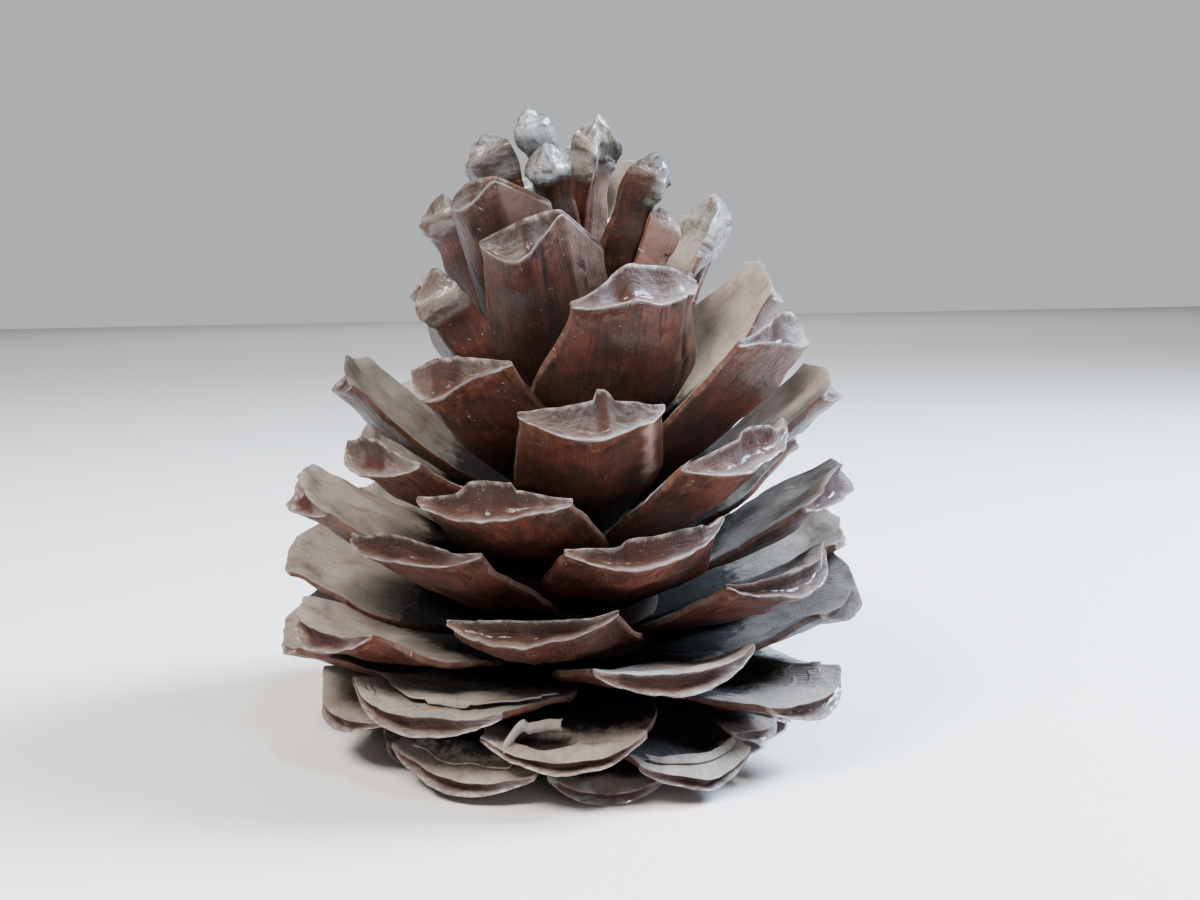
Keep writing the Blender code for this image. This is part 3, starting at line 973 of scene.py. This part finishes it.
scaleMasks = {  # where a noise or a distance starts and ends to count, and what it gives there
    "warmBlotches": (0.38, 0.70, 0, 0.8),
    "warmLines": (0.45, 0.75, 0, 0.5),
    "behindLip": (0.5, 0.62, 0, 0.5),
    "pinkPatches": (0.35, 0.5, 0.6, 1.0),
    "stainBlotches": (0.46, 0.78),
    "stainLines": (0.5, 0.72, 0, 0.3),
    "peelLifted": (0.5, 0.515),
    "peelOchre": (0.36, 0.30),
    "paleRagged": (0.3, 0.7, -0.3, 0.3),
    "paleEdge": (0.25, 0.75),
    "upperFace": (0.55, 0.95),
    "endRagged": (0.3, 0.7, -0.4, 0.4),
    "endRightSheen": (0.1, 0.75, 0.0, 0.42),
    "insideDark": (0.42, 0.68),
    "outsidePink": (0.38, 0.66),
    "olivePatches": (0.50, 0.60, 0, 0.8),
    "lipThrough": (-0.85, -0.35, 0.75, 0.0),
    "lipPatches": (0.40, 0.58, 1.0, 0.35),
    "dishTopShade": (-0.1, 0.8, 0.0, 0.55),
    "headSpotPatches": (0.46, 0.62),
    "headSpotBlotches": (0.52, 0.62),
    "rimPatches": (0.38, 0.58, 1.0, 0.15),
    "rimBlotches": (0.36, 0.6, 1.0, 0.3),
    "rimWobble": (0.3, 0.7, 0.5, 1.5),
    "toneShade": (-1, 1.5, 0.45, 1.33),
    "depthShade": (0.15, 0.70, 0.18, 1.0),
    "roughLines": (0.3, 0.7, 0.30, 0.5),
    "glossThrough": (-0.45, 0.15, 1.0, 0.12),
    "glossPatches": (0.42, 0.58, 0.75, 0.0),
}


def scaleReads(n, fibres):
    # what the scale's shader reads: noise, painted masks, place on the scale, distance to its edges
    wood = n.add("Group", {"Grain": n.vector("grain")}, node_tree=fibres)
    place = n.add("SeparateXYZ", {0: n.vector("place")})
    near = n.add("SeparateXYZ", {0: n.vector("near")})
    r = SimpleNamespace(**{name.lower(): wood.outputs[name] for name in wood.outputs.keys()})
    r.end, r.head, r.tone, r.torn = (n.mask(name) for name in ("endFace", "head", "tone", "torn"))
    r.notEnd = n.math("SUBTRACT", 1.0, r.end)
    r.toRight = n.math("MULTIPLY", place.outputs["X"], -1.0)
    r.share, r.through = place.outputs["Y"], place.outputs["Z"]
    r.fromSide, r.fromEnd, r.fromFace = near.outputs["X"], near.outputs["Y"], near.outputs["Z"]
    r.peel = n.noise(n.vector("grain"), *scaleFinish["peel"])
    r.lifted = n.times(r.torn, n.masked(r.peel, "peelLifted"))
    r.upper = n.times(n.masked(r.through, "upperFace"), r.notEnd)
    return r


def lowerColour(n, r):
    # dark red-brown, warmer in blotches, paler behind the lip and pink on the thin wings
    f = scaleFinish
    warmth = n.math("ADD", n.masked(r.blotches, "warmBlotches"), n.masked(r.lines, "warmLines"))
    behindLip = n.times(n.bell(r.fromEnd, f["behindLipLength"]), n.masked(r.patches, "behindLip"))
    return n.layer(
        f["lowerDark"],
        (n.math("MULTIPLY", warmth, f["lowerWarmth"], True), f["lowerWarm"]),
        (behindLip, f["lowerPatch"]),
        (n.mask("streak"), f["resin"]),
        (n.times(n.mask("pink"), n.masked(r.patches, "pinkPatches")), f["wingPink"]),
        (n.math("MAXIMUM", n.times(r.cracks, f["crackStrength"]), n.mask("split")), f["crackAndHoleShade"]),
    )


def upperColour(n, r):
    # pale and matt, with dark stains and lines, and painted shade, near black, deep inside the cone
    f = scaleFinish
    stains = n.math("ADD", n.masked(r.blotches, "stainBlotches"), n.masked(r.lines, "stainLines"), True)
    worn = n.layer(
        f["upperPale"],
        (stains, f["upperStain"]),
        (n.times(r.lifted, f["paperStrength"]), f["papery"]),
        (n.times(r.torn, n.masked(r.peel, "peelOchre")), f["ochre"]),
        (n.mask("ochre"), f["ochre"]),
    )
    # painted shade: the upper face is near black toward its root and pale only near its end
    ragged = n.math("ADD", n.mask("upperOutOfShade"), n.masked(r.patches, "paleRagged"))
    # painted shade: the holes get the cracks' near black, as shade under the torn layers
    return n.layer(f["upperPaintedShade"], (n.masked(ragged, "paleEdge"), worn), (n.mask("shadedHole"), f["crackAndHoleShade"]))


def endColours(n, r, lower):
    # the end face, a brown hollow with a pale lip, painted shade under its upper rim and a painted sheen
    # that turns it grey to the right, and the crown's heads
    f = scaleFinish
    # painted sheen: end faces and heads turn paler and greyer toward their right, where the cool light falls
    toRightSheen = n.math("ADD", r.toRight, n.masked(r.patches, "endRagged"))
    endPale = n.math("ADD", n.mask("endPale"), n.masked(toRightSheen, "endRightSheen"), True)
    pinkish = n.masked(r.blotches, "outsidePink")
    olive = n.masked(r.patches, "olivePatches")
    grey = n.layer(f["endGreyAndSheen"], (pinkish, f["endPink"]), (olive, f["endOlive"]))
    lipPale = n.times(n.masked(r.through, "lipThrough"), n.masked(r.patches, "lipPatches"))
    outside = n.layer(f["endTan"], (pinkish, f["endPink"]), (endPale, grey), (lipPale, f["lipSilver"]))
    inside = n.mix(n.masked(r.blotches, "insideDark"), f["endWarm"], f["endDarkAndShade"])
    # painted shade: the upper part of the hollow end face, under its rim, is darkened
    dishTopShade = n.masked(r.through, "dishTopShade")
    colour = n.layer(outside, (n.mask("patch"), inside), (dishTopShade, f["endDarkAndShade"]))
    # darker brown spots on the heads, placed by noise
    headDarkSpots = n.math("MAXIMUM", n.masked(r.patches, "headSpotPatches"), n.masked(r.blotches, "headSpotBlotches"))
    headColour = n.layer(f["endPink"], (endPale, f["headGrey"]), (headDarkSpots, f["headDark"]))
    return n.mix(n.mask("lens"), lower, colour), headColour


def rimMasks(n, r):
    # thin pale rims round the end face, partly a painted highlight, and tan edges down both sides, both
    # broken up in places
    f = scaleFinish
    paleness = n.times(n.masked(r.patches, "rimPatches"), n.masked(r.blotches, "rimBlotches"))
    wobble = n.masked(r.lines, "rimWobble")
    distances = ((r.fromFace, f["faceRim"]), (r.fromEnd, f["backRim"]), (r.fromSide, f["sideRim"]))
    faceBell, backBell, sideBell = (
        n.bell(n.math("DIVIDE", distance, wobble), width) for distance, width in distances
    )
    # the rims' paleness is partly a painted highlight along the edges
    rim = n.math("MAXIMUM", n.times(r.end, faceBell), n.times(r.notEnd, backBell))
    return n.times(rim, paleness), n.times(r.notEnd, sideBell, paleness, f["sideStrength"])


def scaleHeight(n, r):
    # the fine relief: fibres, blotches, patches, cracks and the edges of peeling paper
    f = scaleFinish
    height = n.times(r.lines, n.math("SUBTRACT", 1.0, n.times(r.end, f["endSmooth"])))
    layers = (
        (r.blotches, f["blotchLift"]), (r.patches, f["patchLift"]), (r.cracks, f["crackLift"]),
        (r.lifted, f["paperLift"]), (n.times(r.end, r.patches), f["endLift"]),
    )
    for layer, lift in layers:
        height = n.math("ADD", height, n.math("MULTIPLY", layer, lift))
    return height


def scaleMaterial(fibres):
    f = scaleFinish
    material, n, surface = newMaterial("pineScale")
    r = scaleReads(n, fibres)
    lower = lowerColour(n, r)
    endColour, headColour = endColours(n, r, lower)
    rim, edge = rimMasks(n, r)
    colour = n.layer(
        lower, (r.upper, upperColour(n, r)), (edge, f["edgeTan"]), (r.end, endColour), (r.head, headColour),
        (rim, f["rimPaleAndHighlight"]), (n.times(r.specks, f["speckStrength"]), f["speck"]),
    )
    shade = n.times(n.masked(r.tone, "toneShade"), n.masked(r.share, "depthShade"))
    greyShade = n.add("CombineColor", {0: shade, 1: shade, 2: shade}).outputs[0]
    matt = n.times(n.math("MAXIMUM", r.upper, r.end), f["mattBy"])
    lowerLip = n.times(r.end, n.masked(r.through, "glossThrough"))
    n.fill(surface, {
        "Base Color": n.mix(1.0, colour, greyShade, "MULTIPLY"),
        "Roughness": n.math("ADD", n.masked(r.lines, "roughLines"), matt),
        "Coat Weight": n.times(n.math("MAXIMUM", lowerLip, r.head), n.masked(r.patches, "glossPatches")),
        "Coat Roughness": f["coatRoughness"],
        "Specular IOR Level": f["specular"],
        "Normal": n.bump(f, scaleHeight(n, r)),
    })
    return material


axisFinish = {
    # near black: the axis stands deep inside the cone, and this darkness is partly painted shade
    "dark": (0.014, 0.007, 0.005, 1),
    "brown": (0.045, 0.021, 0.014, 1),
    "blotches": (0.35, 0.7),
    "roughLines": (0.3, 0.7, 0.55, 0.8),
    "perMetre": (1000, 1000, 1000),  # the grain's noise is in mm
    "bump": 0.5,
    "bumpDepth": 0.0005,
}


def axisMaterial(fibres):
    f = axisFinish
    material, n, surface = newMaterial("coneAxis")
    place = n.add("TexCoord").outputs["Object"]
    larger = n.add("Mapping", {"Vector": place, "Scale": f["perMetre"]}).outputs[0]
    wood = n.add("Group", {"Grain": larger}, node_tree=fibres)
    n.fill(surface, {
        "Base Color": n.mix(n.range(wood.outputs["Blotches"], *f["blotches"]), f["dark"], f["brown"]),
        "Roughness": n.range(wood.outputs["Lines"], *f["roughLines"]),
        "Normal": n.bump(f, wood.outputs["Blotches"]),
    })
    return material


cameraPlace = {
    "distance": 219.0,  # mm from the cone's axis
    "pitchDeg": 6.6,
    "aimHeight": 43.3,
    "rollDeg": -1.1,
    "lens": 42.0,
    "sensor": 36.0,
    "middleX": 580,  # pixel column of the cone's axis
    "imageWidth": 1200,
    "nearest": 0.01,
}


def makeCamera():
    c = cameraPlace
    pitch, roll = math.radians(c["pitchDeg"]), math.radians(c["rollDeg"])
    back, rise = c["distance"] * math.cos(pitch), c["distance"] * math.sin(pitch)
    forward = Vector((0, math.cos(pitch), -math.sin(pitch)))
    right, up = Vector((1, 0, 0)), Vector((0, math.sin(pitch), math.cos(pitch)))
    right, up = right * math.cos(roll) + up * math.sin(roll), up * math.cos(roll) - right * math.sin(roll)
    data = bpy.data.cameras.new("photoCamera")
    data.lens = c["lens"]
    data.sensor_width = c["sensor"]
    data.shift_x = (c["imageWidth"] / 2 - c["middleX"]) / c["imageWidth"]
    data.clip_start = c["nearest"]
    camera = addObject("photoCamera", data)
    matrix = Matrix((right, up, -forward)).transposed().to_4x4()
    matrix.translation = Vector((0, -back, c["aimHeight"] + rise)) * mm
    camera.matrix_world = matrix
    bpy.context.scene.camera = camera


coneMiddle = (0.0, 0.0, 0.045)
lamps = {  # place and aim in m, width in m, watts, colour
    "keyLeft": ((-0.30, -0.36, 0.62), coneMiddle, 0.24, 11.0, (1.0, 0.94, 0.87)),
    "coolRight": ((0.50, 0.06, 0.50), coneMiddle, 0.26, 28.0, (0.64, 0.80, 1.0)),
    "frontFill": ((0.25, -0.75, 0.22), coneMiddle, 0.40, 1.2, (1.0, 0.97, 0.94)),
    "glint": ((0.16, -0.30, 0.62), coneMiddle, 0.06, 2.2, (0.93, 0.97, 1.0)),
    "floorWash": ((0.0, 1.9, 1.6), (0.0, 1.9, 0.045), 1.6, 24.0, (1.0, 1.0, 1.0)),
}
studio = {
    "sky": (0.86, 0.88, 0.90, 1),
    "skyLight": 0.2,
    "skySeen": 0.62,  # how bright the camera sees it
    "floor": (0.74, 0.72, 0.70, 1),
    "floorRoughness": 0.85,
    "floorHalf": 3.0,  # m
}


def makeLamps():
    for name, (place, aim, width, watts, colour) in lamps.items():
        data = bpy.data.lights.new(name, "AREA")
        data.size = width
        data.energy = watts
        data.color = colour
        lamp = addObject(name, data)
        lamp.location = place
        lamp.rotation_euler = (Vector(aim) - Vector(place)).to_track_quat("-Z", "Y").to_euler()
    world = bpy.data.worlds.new("paleStudio")
    world.use_nodes = True
    n = Nodes(world.node_tree)
    isSeen = n.add("LightPath").outputs["Is Camera Ray"]
    n.fill(world.node_tree.nodes["Background"], {
        "Color": studio["sky"],
        "Strength": n.range(isSeen, 0, 1, studio["skyLight"], studio["skySeen"]),
    })
    bpy.context.scene.world = world


def makeFloor():
    bm = bmesh.new()
    bmesh.ops.create_grid(bm, x_segments=1, y_segments=1, size=studio["floorHalf"])
    floor = addObject("studioFloor", meshFrom(bm, "studioFloor"))
    material, n, surface = newMaterial("paleFloor")
    n.fill(surface, {"Base Color": studio["floor"], "Roughness": studio["floorRoughness"]})
    floor.data.materials.append(material)


def dress(piece, material):
    piece.data.materials.clear()
    piece.data.materials.append(material)
    piece.data.shade_smooth()
    print(piece.name, len(piece.data.polygons), "faces")
    return piece


storeys = {  # the first scale of each piece, and the one after its last
    "baseScales": (0, 19),
    "lowerScales": (19, 38),
    "middleScales": (38, 57),
    "upperScales": (57, 76),
    "crownScales": (76, spiral["count"]),
}

print("growing the scales")
template = boxGrid(scaleShape)
grid = np.empty(len(template.vertices) * 3, np.float32)
template.vertices.foreach_get("co", grid)
grid = grid.reshape(-1, 3).astype(float)
fibres = fibreGroup()
wood = scaleMaterial(fibres)
pieces = []
for name, (first, after) in storeys.items():
    made = [makeScale(template, grid, number) for number in range(first, after)]
    pieces.append(dress(joinPieces(made, name), wood))
bpy.data.meshes.remove(template)

print("peeling the torn layers")
sheets = [makeFlap(name) for name in flapShape] + [makeRibbon()]
pieces.append(dress(joinPieces(sheets, "tornLayers"), wood))

print("turning the axis")
pieces.append(dress(makeAxis(), axisMaterial(fibres)))

for piece in pieces:
    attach(piece, "root")
    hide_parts("cone")

print("setting the studio")
makeFloor()
makeLamps()
makeCamera()

print("done")
